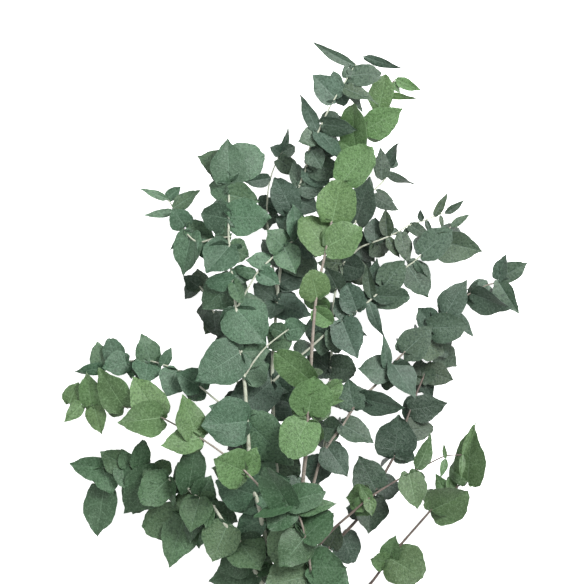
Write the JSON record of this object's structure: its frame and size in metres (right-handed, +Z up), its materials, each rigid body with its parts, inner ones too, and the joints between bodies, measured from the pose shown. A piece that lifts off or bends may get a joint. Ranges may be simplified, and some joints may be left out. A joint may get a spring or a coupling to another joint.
{
  "type": "eucalyptus branch",
  "caption": "Leafy silver-dollar eucalyptus branch, cut and laid flat: a short woody fork carrying sprays of round, blue-green and lime-green paired leaves.",
  "frame": {"origin": "middle of the underside of the box around the branch, on the surface that it lies on", "axes": "+Y from the cut woody end towards the leafy tip, +X to the right as seen from above with the tip away from the viewer, +Z up"},
  "size_m": [0.4683, 0.6131, 0.1377],
  "materials": {
    "bark": "matt bark",
    "leaf_sage": "matt waxy leaf",
    "leaf_lime": "matt waxy leaf",
    "leaf_green": "matt waxy leaf",
    "leaf_olive": "matt waxy leaf",
    "leaf_grey": "matt waxy leaf",
    "leaf_dark": "matt waxy leaf"
  },
  "bodies": {
    "root": {"woody_base": "bark", "tall_left_spray": "leaf_sage", "lime_centre_spray": "leaf_lime", "front_spray": "leaf_green", "lime_left_spray": "leaf_lime", "low_left_spray": "leaf_green", "centre_tall_spray": "leaf_grey", "right_spray": "leaf_grey", "right_back_spray": "leaf_dark", "brown_right_spray": "leaf_olive", "low_right_spray": "leaf_olive", "back_left_spray": "leaf_dark", "back_right_spray": "leaf_dark"}
  },
  "joints": []
}
